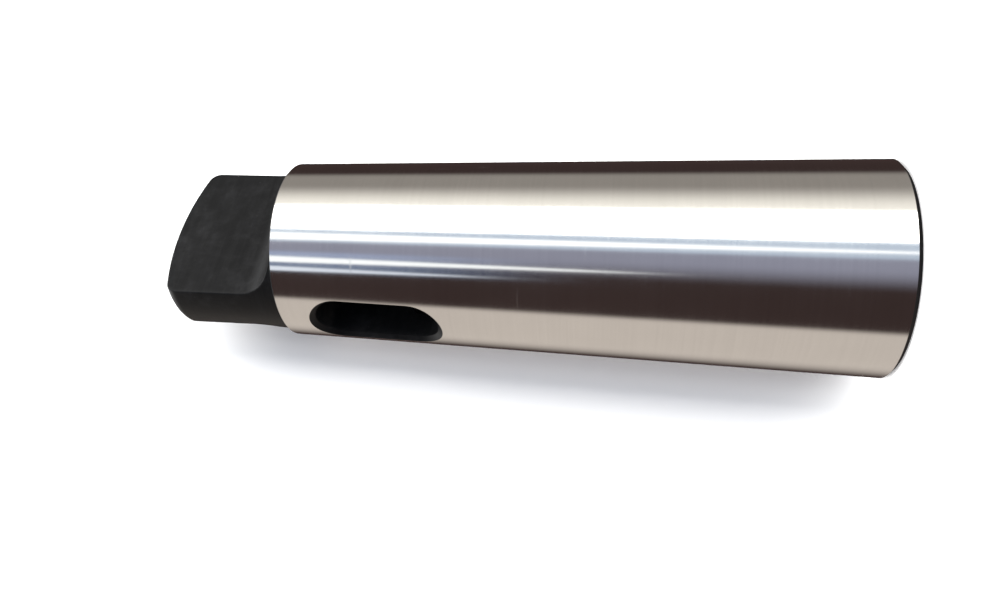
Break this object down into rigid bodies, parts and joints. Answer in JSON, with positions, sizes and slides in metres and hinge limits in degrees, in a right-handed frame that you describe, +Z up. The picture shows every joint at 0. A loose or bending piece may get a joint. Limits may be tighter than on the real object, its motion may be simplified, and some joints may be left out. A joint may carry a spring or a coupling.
{
  "type": "taper sleeve",
  "caption": "Tapered reduction sleeve with a ground outer taper, an inner taper socket, a cross drift slot and a flat-sided blackened tang.",
  "frame": {"origin": "centre of the large end face, which the sleeve stands on", "axes": "+Z up the sleeve's axis towards the tang, +X through the drift slot, tang flats facing -Y and +Y"},
  "size_m": [0.0636, 0.0636, 0.2173],
  "materials": {
    "ground_steel": "finely ground, with the tang and the inside left black oxide"
  },
  "bodies": {
    "root": {"sleeve_body": "ground_steel"}
  },
  "joints": []
}
